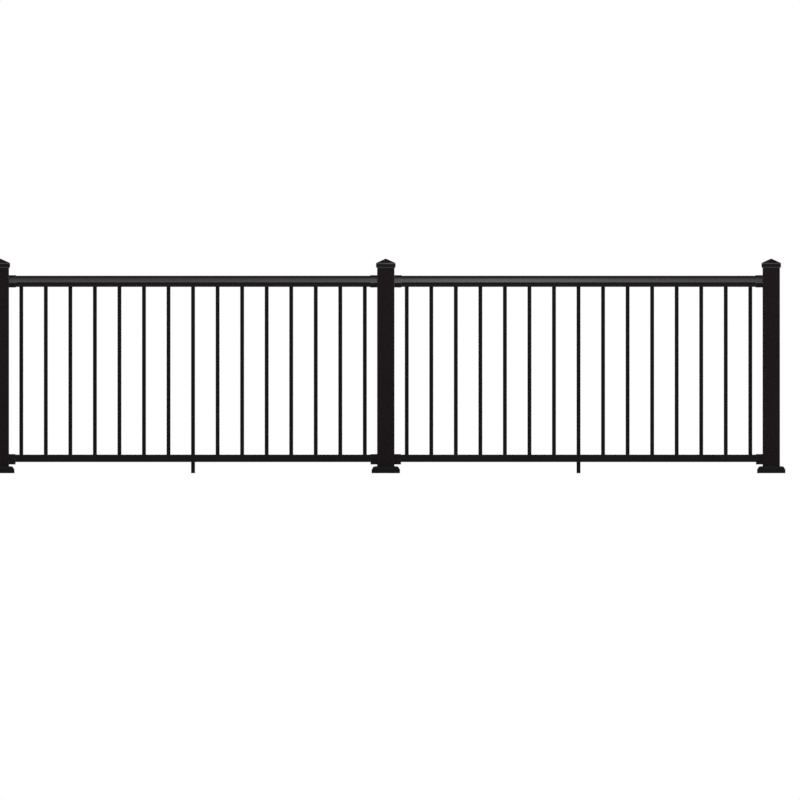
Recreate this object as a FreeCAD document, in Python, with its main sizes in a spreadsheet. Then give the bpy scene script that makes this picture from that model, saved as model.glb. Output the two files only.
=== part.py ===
"""Two bays of an aluminium deck railing between three posts.

The posts stand on bolted base plates hidden by moulded skirts and end in pyramid caps. In each bay
a two-piece top rail and a tubular bottom rail sit in collars on the posts and hold square balusters,
and a short leg carries the middle of the bottom rail.

X runs along the railing, +Z is up and -Y is the front. The origin is the middle of the underside of
the centre post's base plate. Lengths are in millimetres and angles in degrees.
"""

import FreeCAD, Part
import math
import os

import Sketcher
from FreeCAD import Rotation, Vector

# Driving dimensions
SIZES = {
    # posts and bays
    "clear_span": 1714.5,  # between the faces of two posts
    "cap_rise": 80.1,  # point of the caps above the top rail
    "post_width": 81.0,
    "post_wall": 2.5,
    "post_corner_radius": 3.0,
    # base plates
    "plate_width": 120.0,
    "plate_thickness": 12.0,
    "plate_corner_radius": 6.0,
    "anchor_spacing": 96.0,
    "anchor_hole_radius": 5.5,
    # skirts
    "skirt_width": 132.0,
    "skirt_height": 32.4,
    "skirt_wall": 2.5,
    "skirt_band_height": 19.4,  # the upright band at the bottom
    "skirt_step": 3.3,  # how far the moulding stands in from the band
    "skirt_round_radius": 13.0,
    "skirt_corner_radius": 5.0,
    # caps
    "cap_width": 91.4,
    "cap_height": 44.0,
    "cap_pitch": 24.3,
    "cap_shoulder_radius": 10.0,
    "cap_lip_height": 4.6,
    "cap_lip_inset": 3.8,
    "cap_socket_depth": 14.0,
    "cap_wall": 2.5,
    "cap_ledge": 4.5,  # ledge that rests on the end of the post
    "cap_corner_radius": 4.0,
    # top rail
    "rail_top_height": 919.9,
    "channel_width": 44.5,
    "channel_height": 20.7,
    "channel_neck_height": 13.3,  # stepped part of the channel inside the cover
    "crown_width": 63.5,
    "crown_height": 31.4,
    "flank_height": 15.0,
    "flank_angle": 20.0,  # lean of the cover's sides from upright
    "rail_wall": 2.0,
    # bottom rail
    "bottom_clearance": 51.9,  # deck to the underside of the rail
    "bottom_rail_height": 34.8,
    "bottom_rail_width": 44.5,
    "bottom_rail_corner_radius": 1.5,
    # brackets
    "bracket_wall": 2.3,
    "bracket_back": 3.0,
    "bracket_rim_chamfer": 1.2,
    "top_bracket_length": 33.5,
    "bottom_bracket_length": 30.5,
    "bottom_bracket_drop": 11.3,  # depth below the rail
    "bottom_bracket_corner_radius": 2.0,
    # balusters and legs
    "baluster_pitch": 114.3,
    "baluster_width": 18.3,
    "baluster_wall": 1.2,
    "baluster_corner_chamfer": 0.9,
    "baluster_tuck": 16.0,  # how far a baluster reaches into the top rail
    "foot_height": 4.0,
    "foot_plug_height": 14.0,
    # clearances
    "post_fit": 0.4,
    "rail_fit": 0.3,
    "baluster_fit": 0.4,
    "plug_fit": 0.2,
    "rail_end_gap": 2.0,
}

# Levels and positions worked out from the driving dimensions
PLACES = {
    "bay_pitch": "Sizes.clear_span + Sizes.post_width",
    "post_half": "Sizes.post_width / 2",
    "post_bore": "Sizes.post_width - 2 * Sizes.post_wall",
    "cap_level": "Sizes.rail_top_height + Sizes.cap_rise - Sizes.cap_height",
    "post_length": "Places.cap_level + Sizes.cap_socket_depth - Sizes.plate_thickness",
    "post_hole": "Sizes.post_width + 2 * Sizes.post_fit",
    # cap outline
    "cap_half": "Sizes.cap_width / 2",
    "cap_shoulder": "Sizes.cap_height - Places.cap_half * tan(Sizes.cap_pitch)",
    "cap_round_reach": "Sizes.cap_shoulder_radius * tan((90 - Sizes.cap_pitch) / 2)",
    "cap_cavity_half": "Places.post_half - Sizes.cap_ledge",
    "cap_cavity_apex": "Sizes.cap_height - Sizes.cap_wall / cos(Sizes.cap_pitch)",
    "cap_cavity_shoulder": "Places.cap_cavity_apex - Places.cap_cavity_half * tan(Sizes.cap_pitch)",
    # top rail section, measured from the underside of the channel
    "rail_height": "Sizes.channel_height + Sizes.crown_height",
    "top_rail_level": "Sizes.rail_top_height - Places.rail_height",
    "channel_half": "Sizes.channel_width / 2",
    "crown_half": "Sizes.crown_width / 2",
    "crown_radius": "(Sizes.crown_height - Sizes.flank_height) / (1 - sin(Sizes.flank_angle))",
    "crown_center_level": "Places.rail_height - Places.crown_radius",
    "crown_flat": "Places.crown_half - Sizes.flank_height * tan(Sizes.flank_angle)"
                  " - Places.crown_radius * cos(Sizes.flank_angle)",
    # bottom rail
    "bottom_rail_half": "Sizes.bottom_rail_width / 2",
    "baluster_level": "Sizes.bottom_clearance + Sizes.rail_wall",
    "baluster_length": "Places.top_rail_level + Sizes.baluster_tuck - Places.baluster_level",
    # along a bay, measured from the face of the post
    "rail_start": "Sizes.bracket_back + Sizes.rail_end_gap",
    "rail_length": "Sizes.clear_span - 2 * Places.rail_start",
    "baluster_count": "floor((Sizes.clear_span + Sizes.rail_fit) / Sizes.baluster_pitch)",
    "first_baluster": "(Sizes.clear_span - (Places.baluster_count - 1) * Sizes.baluster_pitch) / 2",
    "baluster_half": "Sizes.baluster_width / 2",
    "baluster_hole": "Sizes.baluster_width + 2 * Sizes.baluster_fit",
    "leg_length": "Sizes.bottom_clearance - Sizes.foot_height",
    "leg_plug_width": "Sizes.baluster_width - 2 * Sizes.baluster_wall - 2 * Sizes.plug_fit",
}

# Where the posts and the bays stand, in whole and half bays from the centre post
POSTS = {"left": -1, "center": 0, "right": 1}
BAYS = {"left": -0.5, "right": 0.5}
PLATE_CORNERS = 4

# Rotations that lay a sketch level, or upright with its X and Y as model X and Z, or as Y and Z
FACING_UP = Rotation()
FACING_FRONT = Rotation(Vector(1, 0, 0), 90)
FACING_ALONG = Rotation(Vector(1, 1, 1), 120)
HALF_TURN = Rotation(Vector(0, 0, 1), 180)

doc = FreeCAD.newDocument("deck_railing")
nodes = []


def fill_sheet(name, cells):
    """A spreadsheet with one named cell for each entry."""
    sheet = doc.addObject("Spreadsheet::Sheet", name)
    for row, (alias, content) in enumerate(cells.items(), start=1):
        sheet.set(f"A{row}", alias)
        sheet.set(f"B{row}", content)
        sheet.setAlias(f"B{row}", alias)
    doc.recompute()
    return sheet


fill_sheet("Sizes", {alias: str(size) for alias, size in SIZES.items()})
places = fill_sheet("Places", {alias: f"={formula}" for alias, formula in PLACES.items()})


def measure(expression):
    """The present value of an expression on the sheets."""
    value = places.evalExpression(str(expression))
    return float(getattr(value, "Value", value))


# Sketches


def origin_feature(body, role):
    """One of the body's own origin planes or axes."""
    return next(feature for feature in body.Origin.OriginFeatures if feature.Role == role)


def body_sketch(body, name, plane):
    """An empty sketch on one of the body's origin planes."""
    sketch = body.newObject("Sketcher::SketchObject", name)
    sketch.AttachmentSupport = [(origin_feature(body, plane), "")]
    sketch.MapMode = "FlatFace"
    return sketch


def arc_between(start, end, radius):
    """The short arc that bulges to the right of the way from start to end, counter-clockwise."""
    chord = end - start
    inward = Vector(-chord.y, chord.x, 0).normalize()
    center = start + chord / 2 + inward * math.sqrt(radius**2 - (chord.Length / 2) ** 2)
    angles = [math.atan2(point.y - center.y, point.x - center.x) for point in (start, end)]
    return Part.ArcOfCircle(Part.Circle(center, Vector(0, 0, 1), radius), *angles)


def draw_outline(sketch, corners):
    """A closed outline through the corners, in counter-clockwise order.

    A corner is (across, up) or (across, up, radius), all expressions. The radius makes the edge that
    leaves the corner an arc, which bulges outwards.
    """
    first = sketch.GeometryCount
    points = [Vector(measure(corner[0]), measure(corner[1]), 0) for corner in corners]
    for number, corner in enumerate(corners):
        start, end = points[number], points[(number + 1) % len(points)]
        if len(corner) == 3:
            sketch.addGeometry(arc_between(start, end, measure(corner[2])), False)
        else:
            sketch.addGeometry(Part.LineSegment(start, end), False)
    for number, corner in enumerate(corners):
        edge = first + number
        following = first + (number + 1) % len(corners)
        sketch.addConstraint(Sketcher.Constraint("Coincident", edge, 2, following, 1))
        bind(sketch, Sketcher.Constraint("DistanceX", -1, 1, edge, 1, points[number].x), corner[0])
        bind(sketch, Sketcher.Constraint("DistanceY", -1, 1, edge, 1, points[number].y), corner[1])
        if len(corner) == 3:
            bind(sketch, Sketcher.Constraint("Radius", edge, measure(corner[2])), corner[2])


def bind(sketch, constraint, expression):
    """Add a dimension to a sketch and tie it to an expression."""
    number = sketch.addConstraint(constraint)
    name = f"size_{number}"
    sketch.renameConstraint(number, name)
    sketch.setExpression(f"Constraints.{name}", str(expression))


def rectangle(half_width, bottom, top):
    """Corners of a rectangle that is symmetrical across."""
    return [
        (f"-({half_width})", bottom),
        (half_width, bottom),
        (half_width, top),
        (f"-({half_width})", top),
    ]


def rounded_rectangle(half_width, bottom, top, radius):
    """Corners of a symmetrical rectangle with rounded corners."""
    inner = f"({half_width}) - ({radius})"
    low = f"({bottom}) + ({radius})"
    high = f"({top}) - ({radius})"
    return [
        (f"-({inner})", bottom),
        (inner, bottom, radius),
        (half_width, low),
        (half_width, high, radius),
        (inner, top),
        (f"-({inner})", top, radius),
        (f"-({half_width})", high),
        (f"-({half_width})", low, radius),
    ]


def chamfered_square(half_width, chamfer):
    """Corners of a centred square with its corners cut off."""
    inner = f"{half_width} - {chamfer}"
    return [
        (f"-({inner})", f"-{half_width}"),
        (inner, f"-{half_width}"),
        (half_width, f"-({inner})"),
        (half_width, inner),
        (inner, half_width),
        (f"-({inner})", half_width),
        (f"-{half_width}", inner),
        (f"-{half_width}", f"-({inner})"),
    ]


def square(half_width, radius=None):
    """Corners of a centred square, with rounded corners if a radius is given."""
    if radius is None:
        return rectangle(half_width, f"-({half_width})", half_width)
    return rounded_rectangle(half_width, f"-({half_width})", half_width, radius)


def draw_circle(sketch, across, up, radius):
    """A circle with its centre and radius tied to expressions."""
    center = Vector(measure(across), measure(up), 0)
    edge = sketch.addGeometry(Part.Circle(center, Vector(0, 0, 1), measure(radius)), False)
    bind(sketch, Sketcher.Constraint("DistanceX", -1, 1, edge, 3, center.x), across)
    bind(sketch, Sketcher.Constraint("DistanceY", -1, 1, edge, 3, center.y), up)
    bind(sketch, Sketcher.Constraint("Radius", edge, measure(radius)), radius)


# Features


def new_body(name):
    """A body whose Label is the name of the node."""
    body = doc.addObject("PartDesign::Body", name)
    body.Label = name
    nodes.append(body)
    return body


def pad(body, name, plane, outline, length):
    """Pad an outline away from one of the origin planes."""
    sketch = body_sketch(body, f"{name}_sketch", plane)
    draw_outline(sketch, outline)
    feature = body.newObject("PartDesign::Pad", name)
    feature.Profile = sketch
    feature.setExpression("Length", length)
    return feature


def pocket(body, name, sketch, length=None, up=False):
    """Pocket a sketch, right through if no length is given, and check that it cuts."""
    doc.recompute()
    before = body.Shape.Volume
    feature = body.newObject("PartDesign::Pocket", name)
    feature.Profile = sketch
    feature.Reversed = up
    if length is None:
        feature.Type = "ThroughAll"
    else:
        feature.setExpression("Length", length)
    doc.recompute()
    if not body.Shape.Volume < before:
        raise RuntimeError(f"{name} cuts nothing")
    return feature


def pocket_outline(body, name, plane, outline, length=None, start=None, up=True):
    """Pocket an outline drawn on an origin plane, or on a plane that starts further along."""
    sketch = body_sketch(body, f"{name}_sketch", plane)
    if start is not None:
        sketch.setExpression("AttachmentOffset.Base.z", start)
    draw_outline(sketch, outline)
    return pocket(body, name, sketch, length, up)


def row_along(body, name, features, spacing, count):
    """Repeat features along the railing."""
    pattern = body.newObject("PartDesign::LinearPattern", name)
    pattern.Originals = features
    pattern.Direction = (origin_feature(body, "X_Axis"), [""])
    pattern.Mode = "Spacing"
    pattern.setExpression("Offset", spacing)
    pattern.setExpression("Occurrences", count)
    body.Tip = pattern
    return pattern


def ring_round(body, name, features, count):
    """Repeat features round the upright axis."""
    pattern = body.newObject("PartDesign::PolarPattern", name)
    pattern.Originals = features
    pattern.Axis = (origin_feature(body, "Z_Axis"), [""])
    pattern.Angle = 360
    pattern.Occurrences = count
    body.Tip = pattern
    return pattern


def edge_names(shape, chosen):
    """Names of the chosen edges within a shape."""
    return [
        f"Edge{number}"
        for number, edge in enumerate(shape.Edges, start=1)
        if any(edge.isSame(other) for other in chosen)
    ]


def place(node, x=None, z=None, rotation=None):
    """Put a node at its place on the railing."""
    if rotation is not None:
        node.Placement.Rotation = rotation
    if x is not None:
        node.setExpression("Placement.Base.x", x)
    if z is not None:
        node.setExpression("Placement.Base.z", z)


# Forms with one side profile on all four sides, and mitred corners


def run_profile(name, outline, rotation, length, symmetric=True):
    """An outline turned into its plane and extruded square to it."""
    sketch = doc.addObject("Sketcher::SketchObject", f"{name}_sketch")
    draw_outline(sketch, outline)
    sketch.Placement.Rotation = rotation
    run = doc.addObject("Part::Extrusion", name)
    run.Base = sketch
    run.DirMode = "Normal"
    run.Symmetric = symmetric
    run.Solid = True
    run.setExpression("LengthFwd", length)
    return run


def mitred_form(name, side_profile, plan_half, height, corner_radius=None):
    """What one side profile run both ways has in common, cut to a rounded square if a radius is given."""
    width = f"2 * ({plan_half})"
    runs = [run_profile(f"{name}_front", side_profile, FACING_FRONT, width),
            run_profile(f"{name}_side", side_profile, FACING_ALONG, width)]
    if corner_radius is not None:
        runs.append(run_profile(f"{name}_plan", square(plan_half, corner_radius), FACING_UP, height,
                                symmetric=False))
    form = doc.addObject("Part::MultiCommon", name)
    form.Shapes = runs
    return form


def post_socket(name, depth):
    """The square hole that lets a post in from below."""
    hole = doc.addObject("Part::Box", name)
    hole.setExpression("Length", "Places.post_hole")
    hole.setExpression("Width", "Places.post_hole")
    hole.setExpression("Height", depth)
    hole.setExpression("Placement.Base.x", "-Places.post_hole / 2")
    hole.setExpression("Placement.Base.y", "-Places.post_hole / 2")
    return hole


def hollowed(name, form, hollows):
    """A form less its hollows, as a node."""
    joined = doc.addObject("Part::MultiFuse", f"{name}_hollow")
    joined.Shapes = hollows
    node = doc.addObject("Part::Cut", name)
    node.Label = name
    node.Base = form
    node.Tool = joined
    nodes.append(node)
    return node


# Posts, plates, skirts and caps


def build_post(side, x):
    """Square tube with rounded corners."""
    body = new_body(f"post_{side}")
    pad(body, f"post_{side}_tube", "XY_Plane", square("Places.post_half", "Sizes.post_corner_radius"),
        "Places.post_length")
    pocket_outline(body, f"post_{side}_bore", "XY_Plane", square("Places.post_bore / 2"))
    place(body, x, "Sizes.plate_thickness")


def build_base_plate(side, x):
    """Flat plate, welded under the post, with an anchor hole near each corner."""
    body = new_body(f"base_plate_{side}")
    pad(body, f"plate_{side}_slab", "XY_Plane",
        square("Sizes.plate_width / 2", "Sizes.plate_corner_radius"), "Sizes.plate_thickness")
    sketch = body_sketch(body, f"plate_{side}_anchor_sketch", "XY_Plane")
    draw_circle(sketch, "Sizes.anchor_spacing / 2", "Sizes.anchor_spacing / 2", "Sizes.anchor_hole_radius")
    anchor = pocket(body, f"plate_{side}_anchor", sketch, up=True)
    ring_round(body, f"plate_{side}_anchors", [anchor], PLATE_CORNERS)
    place(body, x)


def skirt_profile():
    """Side profile of the skirt: an upright band, a step in and a quarter-round up to a flat ring."""
    half = "Sizes.skirt_width / 2"
    band = "Sizes.skirt_band_height"
    moulding = f"{half} - Sizes.skirt_step"
    shoulder = "Sizes.skirt_height - Sizes.skirt_round_radius"
    ring = f"{moulding} - Sizes.skirt_round_radius"
    return [
        (f"-{half}", "0"),
        (half, "0"),
        (half, band),
        (moulding, shoulder, "Sizes.skirt_round_radius"),
        (ring, "Sizes.skirt_height"),
        (f"-({ring})", "Sizes.skirt_height", "Sizes.skirt_round_radius"),
        (f"-({moulding})", shoulder),
        (f"-{half}", band),
    ]


def skirt_inside_profile():
    """Side profile of the skirt's hollow, which steps in with the band and slopes under the quarter-round."""
    half = "Sizes.skirt_width / 2 - Sizes.skirt_wall"
    moulding = f"{half} - Sizes.skirt_step"
    ring = "Sizes.skirt_width / 2 - Sizes.skirt_step - Sizes.skirt_round_radius"
    band = "Sizes.skirt_band_height - Sizes.skirt_wall"
    top = "Sizes.skirt_height - Sizes.skirt_wall"
    return [(f"-({half})", "0"), (half, "0"), (half, band), (moulding, band), (ring, top),
            (f"-({ring})", top), (f"-({moulding})", band), (f"-({half})", band)]


def build_skirt(side, x):
    """Moulded shell that slips over the post and hides the base plate."""
    name = f"skirt_{side}"
    form = mitred_form(f"{name}_form", skirt_profile(), "Sizes.skirt_width / 2", "Sizes.skirt_height",
                       "Sizes.skirt_corner_radius")
    inside = mitred_form(f"{name}_inside", skirt_inside_profile(),
                         "Sizes.skirt_width / 2 - Sizes.skirt_wall", "Sizes.skirt_height")
    node = hollowed(name, form, [inside, post_socket(f"{name}_socket", "Sizes.skirt_height")])
    place(node, x)


def cap_profile():
    """Side profile of the cap: chamfered lip, upright brim, rounded shoulder and sloping roof."""
    turn_start = "Places.cap_shoulder - Places.cap_round_reach"
    turn_end = "Places.cap_shoulder + Places.cap_round_reach * sin(Sizes.cap_pitch)"
    roof_start = "Places.cap_half - Places.cap_round_reach * cos(Sizes.cap_pitch)"
    lip = "Places.cap_half - Sizes.cap_lip_inset"
    return [
        (f"-({lip})", "0"),
        (lip, "0"),
        ("Places.cap_half", "Sizes.cap_lip_height"),
        ("Places.cap_half", turn_start, "Sizes.cap_shoulder_radius"),
        (roof_start, turn_end),
        ("0", "Sizes.cap_height"),
        (f"-({roof_start})", turn_end, "Sizes.cap_shoulder_radius"),
        ("-Places.cap_half", turn_start),
        ("-Places.cap_half", "Sizes.cap_lip_height"),
    ]


def cap_cavity_profile():
    """Side profile of the hollow above the post, narrower than the post so that a ledge is left."""
    half = "Places.cap_cavity_half"
    return [
        (f"-{half}", "0"),
        (half, "0"),
        (half, "Places.cap_cavity_shoulder"),
        ("0", "Places.cap_cavity_apex"),
        (f"-{half}", "Places.cap_cavity_shoulder"),
    ]


def build_cap(side, x):
    """Pyramid cap that slips over the post and rests on its end."""
    name = f"cap_{side}"
    form = mitred_form(f"{name}_form", cap_profile(), "Places.cap_half", "Sizes.cap_height",
                       "Sizes.cap_corner_radius")
    cavity = mitred_form(f"{name}_cavity", cap_cavity_profile(), "Places.cap_cavity_half",
                         "Sizes.cap_height")
    node = hollowed(name, form, [cavity, post_socket(f"{name}_socket", "Sizes.cap_socket_depth")])
    place(node, x, "Places.cap_level")


# Rails


def rail_outline(grow):
    """Outline of the whole top rail section, grown outwards all round for the brackets."""
    channel = f"Places.channel_half + {grow}"
    crown = (f"Places.crown_half + ({grow}) / cos(Sizes.flank_angle)"
             f" + ({grow}) * tan(Sizes.flank_angle)")
    lip = f"Sizes.channel_height - ({grow})"
    radius = f"Places.crown_radius + {grow}"
    turn_across = f"Places.crown_flat + ({radius}) * cos(Sizes.flank_angle)"
    turn_up = f"Places.crown_center_level + ({radius}) * sin(Sizes.flank_angle)"
    top = f"Places.rail_height + {grow}"
    return [
        (f"-({channel})", f"-({grow})"),
        (channel, f"-({grow})"),
        (channel, lip),
        (crown, lip),
        (turn_across, turn_up, radius),
        ("Places.crown_flat", top),
        ("-Places.crown_flat", top, radius),
        (f"-({turn_across})", turn_up),
        (f"-({crown})", lip),
        (f"-({channel})", lip),
    ]


def channel_outline():
    """Open channel whose walls step in by their own thickness where the cover's lips rest."""
    wall = "Sizes.rail_wall"
    outer = "Places.channel_half"
    middle = f"({outer} - {wall})"
    inner = f"({outer} - 2 * {wall})"
    step = "Sizes.channel_height"
    top = f"{step} + Sizes.channel_neck_height"
    right = [(outer, "0"), (outer, step), (middle, step), (middle, top), (inner, top),
             (inner, f"{step} - {wall}"), (middle, f"{step} - {wall}"), (middle, wall)]
    left = [(f"-({across})", up) for across, up in reversed(right)]
    return right + left


def cover_outline():
    """Loaf-shaped cover of one thickness, with lips that reach in under it."""
    wall = "Sizes.rail_wall"
    angle = "Sizes.flank_angle"
    lip = "Sizes.channel_height"
    lip_end = f"Places.channel_half - {wall} + Sizes.rail_fit"
    turn_across = f"Places.crown_flat + Places.crown_radius * cos({angle})"
    turn_up = f"Places.crown_center_level + Places.crown_radius * sin({angle})"
    inner_radius = f"Places.crown_radius - {wall}"
    inner_turn_across = f"Places.crown_flat + ({inner_radius}) * cos({angle})"
    inner_turn_up = f"Places.crown_center_level + ({inner_radius}) * sin({angle})"
    inner_lip = f"{lip} + {wall}"
    inner_crown = f"Places.crown_half - {wall} * tan({angle}) - {wall} / cos({angle})"
    outside = [(lip_end, lip), ("Places.crown_half", lip), (turn_across, turn_up, "Places.crown_radius"),
               ("Places.crown_flat", "Places.rail_height"),
               ("-Places.crown_flat", "Places.rail_height", "Places.crown_radius"),
               (f"-({turn_across})", turn_up), ("-Places.crown_half", lip), (f"-({lip_end})", lip)]
    return outside, [(lip_end, inner_lip), (inner_crown, inner_lip),
                     (inner_turn_across, inner_turn_up, inner_radius),
                     ("Places.crown_flat", f"Places.rail_height - {wall}"),
                     ("-Places.crown_flat", f"Places.rail_height - {wall}", inner_radius),
                     (f"-({inner_turn_across})", inner_turn_up),
                     (f"-({inner_crown})", inner_lip), (f"-({lip_end})", inner_lip)]


def rail_x(bay):
    """Where the rails of a bay start."""
    return f"{BAYS[bay]} * Places.bay_pitch - Places.rail_length / 2"


def punch_baluster_holes(body, name, wall_top):
    """Square holes for the balusters in one wall of a rail, cut down from a plane above it."""
    sketch = body_sketch(body, f"{name}_sketch", "XY_Plane")
    sketch.setExpression("AttachmentOffset.Base.z", wall_top)
    middle = "(Places.first_baluster - Places.rail_start)"
    half = "Places.baluster_hole / 2"
    draw_outline(sketch, [(f"{middle} - {half}", f"-{half}"), (f"{middle} + {half}", f"-{half}"),
                          (f"{middle} + {half}", half), (f"{middle} - {half}", half)])
    hole = pocket(body, name, sketch, "Sizes.rail_wall")
    row_along(body, f"{name}_row", [hole], "Sizes.baluster_pitch", "Places.baluster_count")


def build_top_rail(bay):
    """The punched channel and the cover that snaps over its stepped walls."""
    channel = new_body(f"top_rail_channel_{bay}")
    pad(channel, f"channel_{bay}_section", "YZ_Plane", channel_outline(), "Places.rail_length")
    punch_baluster_holes(channel, f"channel_{bay}_punch", "Sizes.rail_wall")
    place(channel, rail_x(bay), "Places.top_rail_level")

    cover = new_body(f"top_rail_cover_{bay}")
    outside, inside = cover_outline()
    pad(cover, f"cover_{bay}_section", "YZ_Plane", outside, "Places.rail_length")
    pocket_outline(cover, f"cover_{bay}_hollow", "YZ_Plane", inside)
    mouth = "Places.channel_half - Sizes.rail_wall + Sizes.rail_fit"
    pocket_outline(cover, f"cover_{bay}_mouth", "YZ_Plane",
                   rectangle(mouth, "Sizes.channel_height", "Sizes.channel_height + 2 * Sizes.rail_wall"))
    place(cover, rail_x(bay), "Places.top_rail_level")


def build_bottom_rail(bay):
    """Rectangular tube, punched in its upper wall."""
    body = new_body(f"bottom_rail_{bay}")
    half = "Places.bottom_rail_half"
    height = "Sizes.bottom_rail_height"
    pad(body, f"bottom_{bay}_section", "YZ_Plane",
        rounded_rectangle(half, "0", height, "Sizes.bottom_rail_corner_radius"), "Places.rail_length")
    pocket_outline(body, f"bottom_{bay}_bore", "YZ_Plane",
                   rectangle(f"{half} - Sizes.rail_wall", "Sizes.rail_wall", f"{height} - Sizes.rail_wall"))
    punch_baluster_holes(body, f"bottom_{bay}_punch", height)
    place(body, rail_x(bay), "Sizes.bottom_clearance")


# Brackets


def bracket_x(bay, end):
    """Face of the post at one end of a bay."""
    direction = {"left": "-", "right": "+"}[end]
    return f"{BAYS[bay]} * Places.bay_pitch {direction} Sizes.clear_span / 2"


def finish_bracket(body, name, bay, end, level):
    """Bevel the outer rim of the open end and put the bracket against its post."""
    doc.recompute()
    cup = body.Tip
    open_end = max(cup.Shape.Faces, key=lambda face: face.BoundBox.XMin)
    rim = max(open_end.Wires, key=lambda wire: wire.BoundBox.DiagonalLength)
    chamfer = body.newObject("PartDesign::Chamfer", f"{name}_rim")
    chamfer.Base = (cup, edge_names(cup.Shape, rim.Edges))
    chamfer.setExpression("Size", "Sizes.bracket_rim_chamfer")
    place(body, bracket_x(bay, end), level, HALF_TURN if end == "right" else None)


def build_top_bracket(bay, end):
    """Collar of the top rail's own section, closed at the post."""
    name = f"top_bracket_{bay}_bay_{end}"
    body = new_body(name)
    pad(body, f"{name}_collar", "YZ_Plane", rail_outline("(Sizes.rail_fit + Sizes.bracket_wall)"),
        "Sizes.top_bracket_length")
    pocket_outline(body, f"{name}_mouth", "YZ_Plane", rail_outline("Sizes.rail_fit"),
                   start="Sizes.bracket_back")
    finish_bracket(body, name, bay, end, "Places.top_rail_level")


def build_bottom_bracket(bay, end):
    """Cup round the bottom rail with a deeper foot, hollow below for the locking screws."""
    name = f"bottom_bracket_{bay}_bay_{end}"
    body = new_body(name)
    grow = "(Sizes.rail_fit + Sizes.bracket_wall)"
    pad(body, f"{name}_cup", "YZ_Plane",
        rounded_rectangle(f"Places.bottom_rail_half + {grow}", "-Sizes.bottom_bracket_drop",
                          f"Sizes.bottom_rail_height + {grow}", "Sizes.bottom_bracket_corner_radius"),
        "Sizes.bottom_bracket_length")
    pocket_outline(body, f"{name}_mouth", "YZ_Plane",
                   rectangle("Places.bottom_rail_half + Sizes.rail_fit", "0",
                             "Sizes.bottom_rail_height + Sizes.rail_fit"),
                   start="Sizes.bracket_back")
    recess_sketch = body_sketch(body, f"{name}_recess_sketch", "XY_Plane")
    recess_sketch.setExpression("AttachmentOffset.Base.z", "-Sizes.bottom_bracket_drop")
    recess_half = "Places.bottom_rail_half + Sizes.rail_fit"
    recess_end = "Sizes.bottom_bracket_length - Sizes.bracket_wall"
    draw_outline(recess_sketch, [
        ("Sizes.bracket_back", f"-({recess_half})"),
        (recess_end, f"-({recess_half})"),
        (recess_end, recess_half),
        ("Sizes.bracket_back", recess_half),
    ])
    pocket(body, f"{name}_recess", recess_sketch, "Sizes.bottom_bracket_drop - Sizes.bracket_wall", up=True)
    finish_bracket(body, name, bay, end, "Sizes.bottom_clearance")


# Balusters and legs


def build_balusters(bay):
    """A row of square tubes that stand in the bottom rail and reach into the top rail."""
    name = f"balusters_{bay}"
    body = new_body(name)
    tube = pad(body, f"{name}_tube", "XY_Plane",
               chamfered_square("Places.baluster_half", "Sizes.baluster_corner_chamfer"),
               "Places.baluster_length")
    bore = pocket_outline(body, f"{name}_bore", "XY_Plane",
                          square("Places.baluster_half - Sizes.baluster_wall"))
    row_along(body, f"{name}_row", [tube, bore], "Sizes.baluster_pitch", "Places.baluster_count")
    first = f"{BAYS[bay]} * Places.bay_pitch - Sizes.clear_span / 2 + Places.first_baluster"
    place(body, first, "Places.baluster_level")


def build_leg(bay):
    """Short square tube under the middle of the bottom rail, on a plug with a flat foot."""
    middle = f"{BAYS[bay]} * Places.bay_pitch"
    leg = new_body(f"support_leg_{bay}")
    pad(leg, f"leg_{bay}_tube", "XY_Plane",
        chamfered_square("Places.baluster_half", "Sizes.baluster_corner_chamfer"), "Places.leg_length")
    pocket_outline(leg, f"leg_{bay}_bore", "XY_Plane", square("Places.baluster_half - Sizes.baluster_wall"))
    place(leg, middle, "Sizes.foot_height")

    foot = new_body(f"leg_foot_{bay}")
    pad(foot, f"foot_{bay}_plug", "XY_Plane", square("Places.leg_plug_width / 2"),
        "Sizes.foot_height + Sizes.foot_plug_height")
    pad(foot, f"foot_{bay}_sole", "XY_Plane",
        chamfered_square("Places.baluster_half", "Sizes.baluster_corner_chamfer"), "Sizes.foot_height")
    place(foot, middle)


for side, bays_away in POSTS.items():
    post_x = f"{bays_away} * Places.bay_pitch"
    build_post(side, post_x)
    build_base_plate(side, post_x)
    build_skirt(side, post_x)
    build_cap(side, post_x)

for bay in BAYS:
    build_top_rail(bay)
    build_bottom_rail(bay)
    build_balusters(bay)
    build_leg(bay)
    for end in ("left", "right"):
        build_top_bracket(bay, end)
        build_bottom_bracket(bay, end)

doc.recompute()


def check(node):
    """Stop if a node has failed or has no sound shape."""
    if node.Shape.isNull() or not node.Shape.isValid() or not node.Shape.Solids:
        raise RuntimeError(f"{node.Label} has no valid shape")


for item in doc.Objects:
    if "Invalid" in item.State or "Error" in item.State:
        raise RuntimeError(f"{item.Label} failed: {item.State}")
for node in nodes:
    check(node)

os.makedirs("parts", exist_ok=True)
for node in nodes:
    node.Shape.exportStep(f"parts/{node.Label}.step")
    box = node.Shape.BoundBox
    print(f"{node.Label}: {len(node.Shape.Solids)} solids, {node.Shape.Volume / 1000:.1f} cm3,"
          f" x {box.XMin:.1f} to {box.XMax:.1f}, y {box.YMin:.1f} to {box.YMax:.1f},"
          f" z {box.ZMin:.1f} to {box.ZMax:.1f}")
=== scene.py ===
"""Looks of a black aluminium deck railing with two bays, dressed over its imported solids.

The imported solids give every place: classes read the corners of the nodes they stand for and add the
section sizes they need. Lengths are in metres, X runs along the railing, +Z is up and -Y is the front.
"""

from __future__ import annotations

import logging
import math
from abc import ABC, abstractmethod
from collections.abc import Iterable, Sequence
from dataclasses import asdict, dataclass, replace
from enum import Enum
from functools import cache
from typing import ClassVar

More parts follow.
